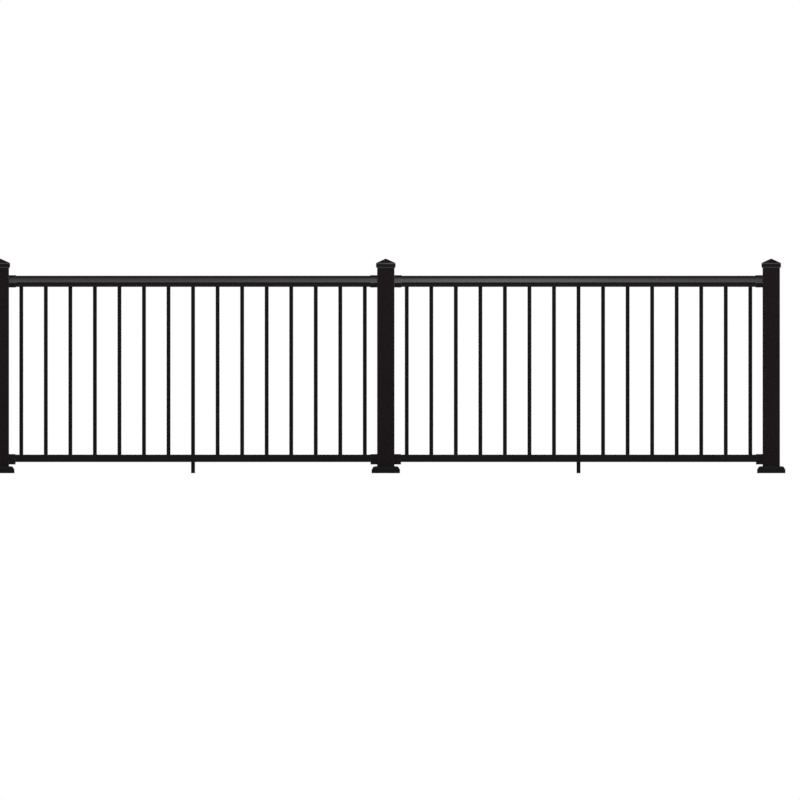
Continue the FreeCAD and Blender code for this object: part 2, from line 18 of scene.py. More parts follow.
import bmesh
import bpy
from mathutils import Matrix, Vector


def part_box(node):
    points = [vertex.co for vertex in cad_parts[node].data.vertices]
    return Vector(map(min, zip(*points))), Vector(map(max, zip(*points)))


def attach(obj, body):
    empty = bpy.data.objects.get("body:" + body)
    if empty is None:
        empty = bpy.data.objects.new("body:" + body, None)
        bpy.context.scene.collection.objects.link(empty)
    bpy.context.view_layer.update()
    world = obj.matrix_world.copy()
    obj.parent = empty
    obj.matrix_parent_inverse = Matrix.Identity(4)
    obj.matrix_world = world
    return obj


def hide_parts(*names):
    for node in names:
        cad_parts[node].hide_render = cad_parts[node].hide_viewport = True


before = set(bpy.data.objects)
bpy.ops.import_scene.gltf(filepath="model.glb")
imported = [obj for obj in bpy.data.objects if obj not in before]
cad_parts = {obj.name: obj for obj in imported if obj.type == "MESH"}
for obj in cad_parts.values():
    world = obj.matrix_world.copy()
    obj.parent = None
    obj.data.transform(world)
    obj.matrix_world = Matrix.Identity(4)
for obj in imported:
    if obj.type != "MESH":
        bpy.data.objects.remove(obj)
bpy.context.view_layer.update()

BODY = "root"
SIDES = ("left", "center", "right")
BAYS = ("left", "right")
ENDS = ("left", "right")
CORNER_STEPS = 6
CRISP_ANGLE = 32.0
SOFTENED_ANGLE = 40.0
MERGE_DISTANCE = 1e-6

log = logging.getLogger("deck_railing")

Colour = tuple[float, float, float]
Flat = tuple[float, float]
Point = tuple[float, float, float]
Ring = tuple[float, float, float]


# Finishes


class Grain(Enum):
    """Which way the fine marks of a surface run, as the stretch of its pattern along X, Y and Z."""

    ALONG_RAIL = (0.02, 1.0, 1.0)
    UPRIGHT = (1.0, 1.0, 0.02)
    EVEN = (1.0, 1.0, 1.0)


@dataclass(frozen=True)
class Finish:
    """One surface finish of the railing.

    Attributes:
        name: Name of its material.
        slot: The record's material slot it belongs to; not used.
        tone: Linear base colour.
        roughness: Middle of the roughness.
        reflection: Specular level, the same all over.
        grain: Which way the fine marks run.
        tone_spread: How far the tone drifts, as a share of it.
        roughness_spread: How far the roughness drifts either way.
        peel_size: Width of the soft orange-peel cells of the coat.
        peel_depth: Height of those cells.
        grain_size: Spacing of the fine marks.
        grain_depth: Height of the fine marks.
        dust: Most of the settled dust on faces that look up.
        wear: How much lighter the edges are: partly polish from handling, partly a painted sheen along them.
        metal: 1 for bare metal.
        batch_spread: Difference in tone between one piece of a row and the next.
    """

    name: str
    slot: str
    tone: Colour
    roughness: float = 0.28
    reflection: float = 0.5
    grain: Grain = Grain.EVEN
    tone_spread: float = 0.12
    roughness_spread: float = 0.04
    peel_size: float = 0.0022
    peel_depth: float = 0.00002
    grain_size: float = 0.0006
    grain_depth: float = 0.000006
    dust: float = 0.05
    wear: float = 0.8
    metal: float = 0.0
    batch_spread: float = 0.0


EXTRUSION_COAT = Finish("satin_coat_on_extrusions", "black_extrusion", (0.0083, 0.0062, 0.0067),
                        reflection=0.4, grain=Grain.ALONG_RAIL)
# The channels' coat is the extrusions' coat painted lighter: painted light that lifts the shade the cover's
# overhang casts on the channel.
CHANNEL_COAT_PAINTED_LIGHTER = Finish("satin_coat_on_channels", "black_extrusion", (0.0114, 0.0084, 0.0096),
                      grain=Grain.ALONG_RAIL)
POST_COAT = Finish("satin_coat_on_posts", "black_extrusion", (0.0081, 0.0043, 0.0055), grain=Grain.UPRIGHT)
COVER_COAT = Finish("satin_coat_on_top_rail", "rail_cover", (0.0090, 0.0062, 0.0071),
                    grain=Grain.ALONG_RAIL, dust=0.02)
CASTING_COAT = Finish("satin_coat_on_castings", "black_casting", (0.0093, 0.0058, 0.0069),
                      peel_size=0.0016, peel_depth=0.00003)
CAP_COAT = replace(CASTING_COAT, name="satin_coat_on_caps", tone=(0.0058, 0.0032, 0.0041), roughness=0.31)
BALUSTER_COAT = Finish("satin_coat_on_balusters", "baluster_coat", (0.0064, 0.0062, 0.0063),
                       reflection=0.33, grain=Grain.UPRIGHT, batch_spread=0.12)
PLATE_COAT = Finish("thick_coat_on_plates", "plate_coat", (0.0100, 0.0098, 0.0098), roughness=0.55,
                    peel_size=0.003, peel_depth=0.00006, dust=0.12)
SKIRT_PLASTIC = Finish("moulded_skirt_plastic", "skirt_moulding", (0.0078, 0.0062, 0.0065), roughness=0.62,
                       reflection=0.12, grain_size=0.0009, grain_depth=0.00001, peel_depth=0.0, wear=0.2,
                       dust=0.04)
FOOT_PLASTIC = Finish("moulded_foot_plastic", "foot_plastic", (0.0075, 0.0075, 0.0075), roughness=0.7,
                      reflection=0.3, grain_size=0.0008, grain_depth=0.00001, peel_depth=0.0)
SCREW_STEEL = Finish("blackened_screw_steel", "plate_coat", (0.045, 0.043, 0.042), roughness=0.38,
                     peel_depth=0.0, grain_size=0.0003, wear=1.2, metal=1.0, dust=0.02)


# Node trees


@dataclass
class Desk:
    """Adds and joins nodes in one tree."""

    tree: bpy.types.NodeTree

    @classmethod
    def cleared(cls, owner: bpy.types.Material | bpy.types.World) -> Desk:
        """Empty the tree of a material or a world.

        Args:
            owner: What the tree belongs to.

        Returns:
            A desk for it.
        """
        owner.use_nodes = True
        owner.node_tree.nodes.clear()
        return cls(owner.node_tree)

    def add(self, kind: str, sockets: dict[str | int, object] | None = None,
            **settings: object) -> bpy.types.Node:
        """Add a node.

        Args:
            kind: Type name of the node.
            sockets: What its inputs get, by name or number: a value, an output socket or a list of those.
            **settings: Properties of the node itself, set first.

        Returns:
            The new node.
        """
        node = self.tree.nodes.new(kind)
        for name, setting in settings.items():
            setattr(node, name, setting)
        for socket, value in (sockets or {}).items():
            if isinstance(value, (bpy.types.NodeSocket, list)):
                for source in value if isinstance(value, list) else [value]:
                    self.tree.links.new(source, node.inputs[socket])
            else:
                node.inputs[socket].default_value = value
        return node

    def out(self, kind: str, sockets: dict[str | int, object] | None = None,
            **settings: object) -> bpy.types.NodeSocket:
        """Add a node and take the socket of its first output."""
        return self.add(kind, sockets, **settings).outputs[0]

    def calc(self, operation: str, *values: object, clamp: bool = False) -> bpy.types.NodeSocket:
        """Work out a Math node's operation on numbers or sockets, kept from 0 to 1 where clamp is set."""
        return self.out("ShaderNodeMath", dict(enumerate(values)), operation=operation, use_clamp=clamp)

    def blend(self, share: object, first: object, second: object) -> bpy.types.NodeSocket:
        """Go from the first colour to the second as the share goes from 0 to 1."""
        return self.add("ShaderNodeMix", {0: share, 6: first, 7: second}, data_type="RGBA").outputs[2]

    def fade(self, share: object, first: object, second: object) -> bpy.types.NodeSocket:
        """Go from the first number to the second as the share goes from 0 to 1."""
        return self.out("ShaderNodeMix", {0: share, 2: first, 3: second}, data_type="FLOAT")

    def ramp(self, value: object, low: float, high: float, start: object = 0.0,
             end: object = 1.0) -> bpy.types.NodeSocket:
        """Map a value smoothly, so that low gives start and high gives end."""
        return self.out("ShaderNodeMapRange", {0: value, 1: low, 2: high, 3: start, 4: end},
                        interpolation_type="SMOOTHSTEP")

    def noise(self, scale: object, detail: float, roughness: float = 0.5,
              stretch: bpy.types.NodeSocket | None = None) -> bpy.types.NodeSocket:
        """A cloudy pattern that is fixed to the piece.

        Args:
            scale: How many clouds lie in a metre.
            detail: How many times the clouds are broken up.
            roughness: How strong the broken-up ones are.
            stretch: What the place is multiplied by along X, Y and Z.

        Returns:
            The pattern's socket, around 0.5.
        """
        place = self.add("ShaderNodeTexCoord").outputs["Object"]
        if stretch is not None:
            place = self.out("ShaderNodeVectorMath", {0: place, 1: stretch}, operation="MULTIPLY")
        return self.out("ShaderNodeTexNoise", {"Vector": place, "Scale": scale, "Detail": detail,
                                               "Roughness": roughness})

    def chance(self, seed: object, low: object = 0.0, high: object = 1.0) -> bpy.types.NodeSocket:
        """A random number from low to high for each point or instance, fixed by the seed."""
        node = self.add("FunctionNodeRandomValue", {2: low, 3: high, "Seed": seed}, data_type="FLOAT")
        return node.outputs["Value"]

    def square(self, width: bpy.types.NodeSocket, radius: bpy.types.NodeSocket) -> bpy.types.NodeSocket:
        """A curve round a square whose corners have a radius."""
        plain = self.out("GeometryNodeCurvePrimitiveQuadrilateral", {"Width": width, "Height": width})
        return self.out("GeometryNodeFilletCurve", {"Curve": plain, "Radius": radius, "Count": 4},
                        mode="POLY")


def socket_type(default: object) -> str:
    """Choose the type of a socket.

    Args:
        default: Its default value, or the name of the type itself for a socket without one.

    Returns:
        The name of the type.
    """
    if isinstance(default, str):
        return default
    if isinstance(default, tuple):
        return "NodeSocketVector" if len(default) == 3 else "NodeSocketColor"
    return "NodeSocketInt" if isinstance(default, int) else "NodeSocketFloat"


def open_group(name: str, kind: str, inputs: dict[str, object],
               outputs: dict[str, str]) -> tuple[Desk, bpy.types.NodeOutputs]:
    """Start a node group with named sockets.

    Args:
        name: Name of the group.
        kind: Type of the tree.
        inputs: Default of each input by name, or its socket type.
        outputs: Socket type of each output by name.

    Returns:
        A desk for the group's tree, and the sockets that its inputs come in by.
    """
    tree = bpy.data.node_groups.new(name, kind)
    for label, default in inputs.items():
        socket = tree.interface.new_socket(name=label, in_out="INPUT", socket_type=socket_type(default))
        if not isinstance(default, str):
            socket.default_value = default
    for label, result in outputs.items():
        tree.interface.new_socket(name=label, in_out="OUTPUT", socket_type=result)
    desk = Desk(tree)
    return desk, desk.add("NodeGroupInput").outputs


class Effects:
    """The surface effects that the materials share, each a node group built once."""

    def __init__(self) -> None:
        """Build the groups."""
        self.drift = self._build_drift()
        self.relief = self._build_relief()
        self.dust = self._build_dust()
        self.wear = self._build_wear()

    @staticmethod
    def _build_drift() -> bpy.types.NodeTree:
        """Broad clouds and small specks in which a coat drifts in tone and roughness.

        Returns:
            A group that puts out the drifting colour and roughness.
        """
        desk, given = open_group(
            "coat_drift", "ShaderNodeTree",
            {"Tone": (0.01, 0.01, 0.01, 1.0), "Tone spread": 0.1, "Roughness": 0.4, "Roughness spread": 0.05,
             "Batch": 0.0},
            {"Colour": "NodeSocketColor", "Roughness": "NodeSocketFloat"})
        clouds = desk.calc("SUBTRACT", desk.noise(scale=3.5, detail=3.0), 0.5)
        specks = desk.calc("SUBTRACT", desk.noise(scale=160.0, detail=2.0), 0.5)
        swing = desk.calc("MULTIPLY", desk.calc("ADD", clouds, desk.calc("MULTIPLY", specks, 0.5)), 2.0)
        lift = desk.calc("ADD", desk.calc("MULTIPLY", swing, given["Tone spread"]), 1.0)
        lift = desk.calc("ADD", lift, given["Batch"])
        colour = desk.out("ShaderNodeVectorMath", {0: given["Tone"], "Scale": lift}, operation="SCALE")
        rough = desk.calc("ADD", given["Roughness"], desk.calc("MULTIPLY", swing, given["Roughness spread"]),
                          clamp=True)
        desk.add("NodeGroupOutput", {"Colour": colour, "Roughness": rough})
        return desk.tree

    @staticmethod
    def _build_relief() -> bpy.types.NodeTree:
        """The soft cells of a sprayed coat over the fine marks of the metal or the mould.

        Returns:
            A group that puts out the height in metres.
        """
        desk, given = open_group(
            "coat_relief", "ShaderNodeTree",
            {"Peel size": 0.002, "Peel depth": 0.00002, "Grain size": 0.0006, "Grain depth": 0.000006,
             "Grain stretch": (1.0, 1.0, 1.0)},
            {"Height": "NodeSocketFloat"})
        cells = desk.noise(desk.calc("DIVIDE", 1.0, given["Peel size"]), detail=1.0, roughness=0.4)
        marks = desk.noise(desk.calc("DIVIDE", 1.0, given["Grain size"]), detail=2.0,
                           stretch=given["Grain stretch"])
        height = desk.calc("ADD", desk.calc("MULTIPLY", cells, given["Peel depth"]),
                           desk.calc("MULTIPLY", marks, given["Grain depth"]))
        desk.add("NodeGroupOutput", {"Height": height})
        return desk.tree

    @staticmethod
    def _build_dust() -> bpy.types.NodeTree:
        """Dust that settles in patches on faces that look up.

        Returns:
            A group that puts out how much of the dust's colour shows.
        """
        desk, given = open_group("settled_dust", "ShaderNodeTree", {"Amount": 0.05},
                                 {"Mask": "NodeSocketFloat"})
        way = desk.add("ShaderNodeSeparateXYZ", {0: desk.add("ShaderNodeNewGeometry").outputs["Normal"]})
        level = desk.ramp(way.outputs["Z"], low=0.75, high=1.0)
        patches = desk.ramp(desk.noise(scale=28.0, detail=5.0, roughness=0.65), low=0.35, high=0.75)
        mask = desk.calc("MULTIPLY", desk.calc("MULTIPLY", level, patches), given["Amount"])
        desk.add("NodeGroupOutput", {"Mask": mask})
        return desk.tree

    @staticmethod
    def _build_wear() -> bpy.types.NodeTree:
        """Edges lightened here and there: partly polish from handling, partly a painted sheen.

        Returns:
            A group that puts out how far a point lies on such an edge.
        """
        desk, given = open_group("worn_edges", "ShaderNodeTree", {"Width": 0.0008},
                                 {"Mask": "NodeSocketFloat"})
        softened = desk.out("ShaderNodeBevel", {"Radius": given["Width"]}, samples=4)
        straight = desk.add("ShaderNodeNewGeometry").outputs["Normal"]
        turned = desk.add("ShaderNodeVectorMath", {0: softened, 1: straight}, operation="DOT_PRODUCT")
        edge = desk.ramp(turned.outputs["Value"], low=0.98, high=0.80)
        breaks = desk.ramp(desk.noise(scale=90.0, detail=4.0), low=0.4, high=0.65)
        desk.add("NodeGroupOutput", {"Mask": desk.calc("MULTIPLY", edge, breaks)})
        return desk.tree


class Paintshop:
    """Makes the material of each finish once, and puts it on pieces."""

    DUST_TONE = (0.16, 0.15, 0.13, 1.0)
    DUST_ROUGHENS = 0.6

    def __init__(self, effects: Effects) -> None:
        """Keep the node groups that the materials share."""
        self.effects = effects

    @cache
    def material(self, finish: Finish) -> bpy.types.Material:
        """Mix the material of a finish on the first call for it.

        Args:
            finish: What the surface is like.

        Returns:
            The material, the same one for each later call.
        """
        material = bpy.data.materials.new(finish.name)
        material.diffuse_color = (*finish.tone, 1.0)
        desk = Desk.cleared(material)
        batch = 0.0
        if finish.batch_spread:
            number = desk.add("ShaderNodeAttribute", attribute_name="batch").outputs["Fac"]
            batch = desk.calc("MULTIPLY", desk.calc("SUBTRACT", number, 0.5), finish.batch_spread)
        drift = desk.add("ShaderNodeGroup", node_tree=self.effects.drift, sockets={
            "Tone": (*finish.tone, 1.0), "Tone spread": finish.tone_spread, "Roughness": finish.roughness,
            "Roughness spread": finish.roughness_spread, "Batch": batch}).outputs
        dust = desk.out("ShaderNodeGroup", {"Amount": finish.dust}, node_tree=self.effects.dust)
        wear = desk.out("ShaderNodeGroup", node_tree=self.effects.wear)
        relief = desk.out("ShaderNodeGroup", node_tree=self.effects.relief, sockets={
            "Peel size": finish.peel_size, "Peel depth": finish.peel_depth, "Grain size": finish.grain_size,
            "Grain depth": finish.grain_depth, "Grain stretch": finish.grain.value})
        # Edges are painted lighter: partly polish from handling, partly a painted sheen along them.
        worn_and_sheen_tone = tuple(channel * (1.0 + finish.wear) for channel in finish.tone)
        coat = desk.blend(wear, drift["Colour"], (*worn_and_sheen_tone, 1.0))
        rough = desk.calc("ADD", drift["Roughness"], desk.calc("MULTIPLY", dust, self.DUST_ROUGHENS),
                          clamp=True)
        shader = desk.out("ShaderNodeBsdfPrincipled", {
            "Base Color": desk.blend(dust, coat, self.DUST_TONE), "Roughness": rough,
            "Metallic": finish.metal, "Specular IOR Level": finish.reflection,
            "Normal": desk.out("ShaderNodeBump", {"Height": relief, "Strength": 1.0, "Distance": 1.0})})
        desk.add("ShaderNodeOutputMaterial", {"Surface": shader})
        return material

    def dress(self, pieces: Iterable[bpy.types.Object], finish: Finish) -> None:
        """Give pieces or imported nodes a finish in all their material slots.

        Args:
            pieces: The objects to dress.
            finish: What their surface is like.
        """
        material = self.material(finish)
        for piece in pieces:
            if not piece.data.materials:
                piece.data.materials.append(material)
            for slot in piece.material_slots:
                slot.material = material


# Shapes


@dataclass(frozen=True)
class Extents:
    """Lowest and highest corner of something."""

    low: Vector
    high: Vector

    @classmethod
    def of_node(cls, node: str) -> Extents:
        """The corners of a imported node."""
        return cls(*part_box(node))

    @property
    def middle(self) -> Vector:
        """The point halfway between the corners."""
        return (self.low + self.high) / 2

    @property
    def size(self) -> Vector:
        """The distance between the corners along each axis."""
        return self.high - self.low


def arc(centre: Flat, radius: float, start: float, end: float, steps: int) -> list[Flat]:
    """Points along an arc from one angle in degrees to another, both ends included."""
    angles = [math.radians(start + (end - start) * step / steps) for step in range(steps + 1)]
    return [(centre[0] + radius * math.cos(angle), centre[1] + radius * math.sin(angle)) for angle in angles]


def rounding(corner: Flat, radius: float, start: float, end: float, steps: int) -> list[Flat]:
    """Points of an arc that rounds off an outward corner.

    Args:
        corner: The corner.
        radius: Radius of the arc.
        start: Where the face before the corner looks, in degrees.
        end: Where the face after it looks.
        steps: Number of straight pieces.

    Returns:
        The points from the first face to the second.
    """
    middle = math.radians((start + end) / 2)
    reach = radius / math.cos(math.radians((end - start) / 2))
    centre = (corner[0] - reach * math.cos(middle), corner[1] - reach * math.sin(middle))
    return arc(centre, radius, start, end, steps)


def bow(start: Flat, end: Flat, turn: float, steps: int) -> list[Flat]:
    """Points between two ends of a slightly bowed line, which bulges to the right of its way.

    Args:
        start: First end, left out.
        end: Last end, left out.
        turn: How many degrees the line turns away from its chord at either end.
        steps: Number of straight pieces.

    Returns:
        The points between the ends.
    """
    run = (end[0] - start[0], end[1] - start[1])
    points = []
    for step in range(1, steps):
        share = step / steps
        bulge = math.tan(math.radians(turn)) * share * (1 - share)
        points.append((start[0] + run[0] * share + run[1] * bulge,
                       start[1] + run[1] * share - run[0] * bulge))
    return points


def mirror(points: Sequence[Flat]) -> list[Flat]:
    """The other half of an outline, in the order that goes on from the first half."""
    return [(-across, up) for across, up in reversed(points)]


def rounded_square(half: float, radius: float) -> list[Flat]:
    """A centred square with rounded corners, as a closed outline.

    Args:
        half: Half its width.
        radius: Radius of its corners.

    Returns:
        The points, counter-clockwise.
    """
    inner = half - radius
    corners = ((inner, inner, 0), (-inner, inner, 90), (-inner, -inner, 180), (inner, -inner, 270))
    return [point for across, up, start in corners
            for point in arc((across, up), radius, start, start + 90, CORNER_STEPS)]


def add_object(name: str, data: bpy.types.ID) -> bpy.types.Object:
    """Link a new object to the scene.

    Args:
        name: Its name.
        data: Its mesh, lamp or camera.

    Returns:
        The object.
    """
    thing = bpy.data.objects.new(name, data)
    bpy.context.scene.collection.objects.link(thing)
    return thing


def skin(name: str, loops: Sequence[Sequence[Point]], ring: bool = False,
         crisp_angle: float = CRISP_ANGLE) -> bpy.types.Object:
    """A closed mesh over loops that have the same number of points.

    Args:
        name: Name of the piece.
        loops: The loops in order.
        ring: Join the last loop to the first, rather than close both ends with a face.
        crisp_angle: Edges that turn by more degrees than this stay crisp.

    Returns:
        The new piece, linked to the scene.
    """
    count = len(loops[0])
    steps = len(loops) if ring else len(loops) - 1
    faces = [(row * count + spot, row * count + (spot + 1) % count,
              (row + 1) % len(loops) * count + (spot + 1) % count, (row + 1) % len(loops) * count + spot)
             for row in range(steps) for spot in range(count)]
    if not ring:
        faces += [tuple(range(count)), tuple(range((len(loops) - 1) * count, len(loops) * count))]
    mesh = bpy.data.meshes.new(name)
    mesh.from_pydata([point for loop in loops for point in loop], [], faces)
    return finish_mesh(name, mesh, crisp_angle)


def finish_mesh(name: str, mesh: bpy.types.Mesh, crisp_angle: float) -> bpy.types.Object:
    """Turn a mesh's faces outwards, shade it smooth between its crisp edges and link it as a piece.

    Args:
        name: Name of the piece.
        mesh: Its closed mesh.
        crisp_angle: Edges that turn by more degrees than this stay crisp.

    Returns:
        The new piece.
    """
    work = bmesh.new()
    work.from_mesh(mesh)
    bmesh.ops.remove_doubles(work, verts=work.verts, dist=MERGE_DISTANCE)
    bmesh.ops.recalc_face_normals(work, faces=work.faces)
    if work.calc_volume(signed=True) < 0:
        bmesh.ops.reverse_faces(work, faces=work.faces)
    work.to_mesh(mesh)
    work.free()
    mesh.shade_smooth()
    mesh.set_sharp_from_angle(angle=math.radians(crisp_angle))
    return add_object(name, mesh)


def soften(piece: bpy.types.Object, width: float) -> None:
    """Round the crisp edges of a piece a little.

    Args:
        piece: The piece.
        width: Width of the rounding.
    """
    bevel = piece.modifiers.new("soft_edges", "BEVEL")
    bevel.width = width
    bevel.segments = 2
    bevel.limit_method = "ANGLE"
    bevel.angle_limit = math.radians(SOFTENED_ANGLE)
    bevel.harden_normals = True


@dataclass
class SubAssembly(ABC):
    """Something on the railing that is built and finished together.

    Attributes:
        shop: Where its materials come from.
    """

    shop: Paintshop

    @abstractmethod
    def build(self) -> None:
        """Build and dress its pieces."""

    def join(self, piece: bpy.types.Object, finish: Finish, *stands_for: str) -> None:
        """Finish a piece and make it part of the railing.

        Args:
            piece: The piece, in place.
            finish: What its surface is like.
            *stands_for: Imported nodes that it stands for.
        """
        self.shop.dress([piece], finish)
        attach(piece, BODY)
        if stands_for:
            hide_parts(*stands_for)
        log.info("%s: %d faces, finish %s", piece.name, len(piece.data.polygons), finish.name)

    def keep(self, finish: Finish, *nodes: str) -> None:
        """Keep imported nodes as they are, under a finish.

        Args:
            finish: What their surface is like.
            *nodes: Their names.
        """
        self.shop.dress([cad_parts[node] for node in nodes], finish)
        for node in nodes:
            log.info("%s: packed shape, finish %s", node, finish.name)


# Rails and their brackets


@dataclass(frozen=True)
class RailSection:
    """Cross-section of the top rail: a stepped channel under a loaf-shaped cover.

    Outlines are (across, up) points measured from the middle of the channel's underside. A face is drawn
    as far outside the rail's own as its grow says, or inside it where that is negative.
    """

    channel_half: float = 0.02225
    channel_height: float = 0.0207
    crown_half: float = 0.03175
    height: float = 0.0521
    flank_height: float = 0.015
    flank_angle: float = 20.0
    flank_turn: float = 4.0
    wall: float = 0.002
    lip_gap: float = 0.0003
    flank_steps: int = 5
    arc_steps: int = 14

    @property
    def lean(self) -> float:
        """How far the flank leans in from upright, in radians."""
        return math.radians(self.flank_angle)

    @property
    def radius(self) -> float:
        """Radius of the cover's shoulders."""
        return (self.height - self.channel_height - self.flank_height) / (1 - math.sin(self.lean))

    @property
    def flat(self) -> float:
        """Half the width of the level strip on top."""
        return self.crown_half - self.flank_height * math.tan(self.lean) - self.radius * math.cos(self.lean)

    def side(self, grow: float) -> list[Flat]:
        """The right side of the cover, from its lower corner up the flank and over the shoulder.

        Args:
            grow: How far outside the cover's own face it lies.

        Returns:
            The points, upwards.
        """
        corner = (self.crown_half + grow * (1 / math.cos(self.lean) + math.tan(self.lean)),
                  self.channel_height - grow)
        shoulder = arc((self.flat, self.height - self.radius), self.radius + grow,
                       self.flank_angle + self.flank_turn, 90, self.arc_steps)
        return [corner, *bow(corner, shoulder[0], self.flank_turn, self.flank_steps), *shoulder]

    def outline(self, grow: float) -> list[Flat]:
        """Outline of the whole section.

        Args:
            grow: How far outside the rail it lies, all round.

        Returns:
            The closed outline, counter-clockwise.
        """
        right = [(self.channel_half + grow, -grow), (self.channel_half + grow, self.channel_height - grow),
                 *self.side(grow)]
        return right + mirror(right)

    def cover(self) -> list[Flat]:
        """Outline of the cover alone, of one thickness, with lips that reach in under it.

        Returns:
            The closed outline.
        """
        lip_end = self.channel_half - self.wall + self.lip_gap
        outside = [(lip_end, self.channel_height), *self.side(0.0)]
        inside = [(lip_end, self.channel_height + self.wall), *self.side(-self.wall)][::-1]
        return outside + mirror(outside) + mirror(inside) + inside


TOP_RAIL = RailSection()


def line_up(stations: Iterable[tuple[float, Sequence[Flat]]], underside: float) -> list[list[Point]]:
    """Stand outlines across the railing, each at its place along it and measured up from the underside."""
    return [[(along, across, underside + up) for across, up in outline] for along, outline in stations]


@dataclass
class TopRail(SubAssembly):
    """The top rail of one bay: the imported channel, and a cover with finely rounded shoulders."""

    bay: str
    edge: float = 0.0003

    def build(self) -> None:
        """Skin the cover and dress the channel."""
        node = f"top_rail_cover_{self.bay}"
        place = Extents.of_node(node)
        outline = TOP_RAIL.cover()
        loops = line_up([(place.low.x, outline), (place.high.x, outline)], place.high.z - TOP_RAIL.height)
        cover = skin(f"cover_of_top_rail_{self.bay}", loops)
        soften(cover, self.edge)
        self.join(cover, COVER_COAT, node)
        self.keep(CHANNEL_COAT_PAINTED_LIGHTER, f"top_rail_channel_{self.bay}")


@dataclass
class TopBracket(SubAssembly):
    """Collar that carries one end of a top rail: a sleeve of the rail's own section, closed at the post."""

    bay: str
    end: str
    wall: float = 0.0023
    fit: float = 0.0003
    back: float = 0.003
    rim: float = 0.0012
    edge: float = 0.0003

    def build(self) -> None:
        """Skin the collar, with a bevelled rim at its open end."""
        node = f"top_bracket_{self.bay}_bay_{self.end}"
        place = Extents.of_node(node)
        grow = self.fit + self.wall
        start, way = (place.low.x, 1) if self.end == "left" else (place.high.x, -1)
        length = place.size.x
        steps = [(0.0, grow), (length - self.rim, grow), (length, grow - self.rim), (length, self.fit),
                 (self.back, self.fit)]
        loops = line_up(((start + way * along, TOP_RAIL.outline(offset)) for along, offset in steps),
                        place.high.z - grow - TOP_RAIL.height)
        collar = skin(f"collar_{self.bay}_bay_{self.end}", loops)
        soften(collar, self.edge)
        self.join(collar, CASTING_COAT, node)


@dataclass
class BottomRails(SubAssembly):
    """The lower tubes and the cups that carry them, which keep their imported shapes."""

    def build(self) -> None:
        """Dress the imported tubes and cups."""
        self.keep(EXTRUSION_COAT, *(f"bottom_rail_{bay}" for bay in BAYS))
        self.keep(CASTING_COAT, *(f"bottom_bracket_{bay}_bay_{end}" for bay in BAYS for end in ENDS))


# Posts, caps and skirts


@dataclass
class SquareShell(SubAssembly):
    """A closed shell of rounded squares, one above another round the middle of the node it stands for."""

    side: str
    edge: float = 0.0003
    crisp_angle: float = CRISP_ANGLE

    KIND: ClassVar[str]
    TITLE: ClassVar[str]
    FINISH: ClassVar[Finish]

    @property
    def node(self) -> str:
        """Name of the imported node."""
        return f"{self.KIND}_{self.side}"

    @property
    def place(self) -> Extents:
        """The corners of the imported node."""
        return Extents.of_node(self.node)

    @abstractmethod
    def rings(self) -> list[Ring]:
        """Rings of the shell, up the outside and down the inside.

        Returns:
            Half width, level above the node's underside and corner radius of each ring.
        """

    def build(self) -> None:
        """Skin the shell."""
        place = self.place
        loops = [[(place.middle.x + across, place.middle.y + along, place.low.z + level)
                  for across, along in rounded_square(half, radius)] for half, level, radius in self.rings()]
        shell = skin(f"{self.TITLE}_{self.side}", loops, ring=True, crisp_angle=self.crisp_angle)
        soften(shell, self.edge)
        self.join(shell, self.FINISH, self.node)


@dataclass
class Post(SquareShell):
    """Hollow square post with evenly rounded corners."""

    edge: float = 0.0004
    wall: float = 0.0025
    corner_radius: float = 0.003

    KIND = "post"
    TITLE = "square_post"
    FINISH = POST_COAT

    def rings(self) -> list[Ring]:
        """Rings of the outer and the inner wall.

        Returns:
            The four rings.
        """
        half, top = self.place.size.y / 2, self.place.size.z
        inner, inner_radius = half - self.wall, self.corner_radius - self.wall
        return [(half, 0.0, self.corner_radius), (half, top, self.corner_radius),
                (inner, top, inner_radius), (inner, 0.0, inner_radius)]


